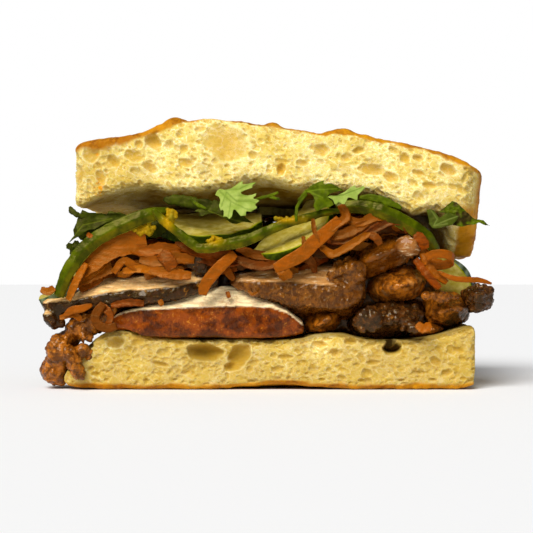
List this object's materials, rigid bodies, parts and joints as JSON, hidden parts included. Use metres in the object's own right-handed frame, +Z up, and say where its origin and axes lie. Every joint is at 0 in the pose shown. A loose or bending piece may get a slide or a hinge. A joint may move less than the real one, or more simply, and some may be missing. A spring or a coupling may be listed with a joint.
{
  "type": "banh mi sandwich",
  "caption": "Cut half of a banh mi on thick flat bread, filled with grilled chicken, carrot shreds, cucumber, green pepper and coriander.",
  "frame": {"origin": "on the table, under the middle of the lower bread", "axes": "+X to the right along the cut face, -Y out of the cut face towards the viewer, +Z up"},
  "size_m": [0.1636, 0.0923, 0.0961],
  "materials": {
    "bread": "matte open crumb with a thin golden crust",
    "chicken": "glazed orange-brown skin with pale fibrous cuts",
    "char": "charred and half glossy",
    "cucumber": "wet pale flesh with dark green rind",
    "pepper": "glossy green",
    "carrot": "moist orange",
    "coriander": "soft matte leaf"
  },
  "bodies": {
    "root": {"bread_lower": "bread", "bread_upper": "bread", "carrot_bent": "carrot", "carrot_curl": "carrot", "carrot_heap": "carrot", "carrot_left_loop": "carrot", "carrot_left_tip": "carrot", "carrot_over_slice": "carrot", "carrot_tail": "carrot", "chicken_hanging": "chicken", "chicken_knob_right": "char", "chicken_slice_left": "chicken", "chicken_slice_lower": "chicken", "chicken_slice_middle": "chicken", "chicken_strip_dark": "char", "chicken_strip_right": "chicken", "chicken_strip_skin": "chicken", "chicken_strip_small": "chicken", "chicken_strip_torn": "chicken", "chicken_strip_under": "chicken", "cucumber_back_left": "cucumber", "cucumber_back_right": "cucumber", "cucumber_front_left": "cucumber", "cucumber_front_middle": "cucumber", "cucumber_left_tip": "cucumber", "cucumber_right": "cucumber", "leaf_back_end": "coriander", "leaf_back_left": "coriander", "leaf_back_right": "coriander", "leaf_front": "coriander", "leaf_left": "coriander", "leaf_left_dark": "coriander", "leaf_left_small": "coriander", "leaf_middle": "coriander", "leaf_middle_dark": "coriander", "leaf_right": "coriander", "leaf_right_tip": "coriander", "leaf_under": "coriander", "pepper_back_left": "pepper", "pepper_back_right": "pepper", "pepper_left": "pepper", "pepper_middle": "pepper", "pepper_right": "pepper"}
  },
  "joints": []
}
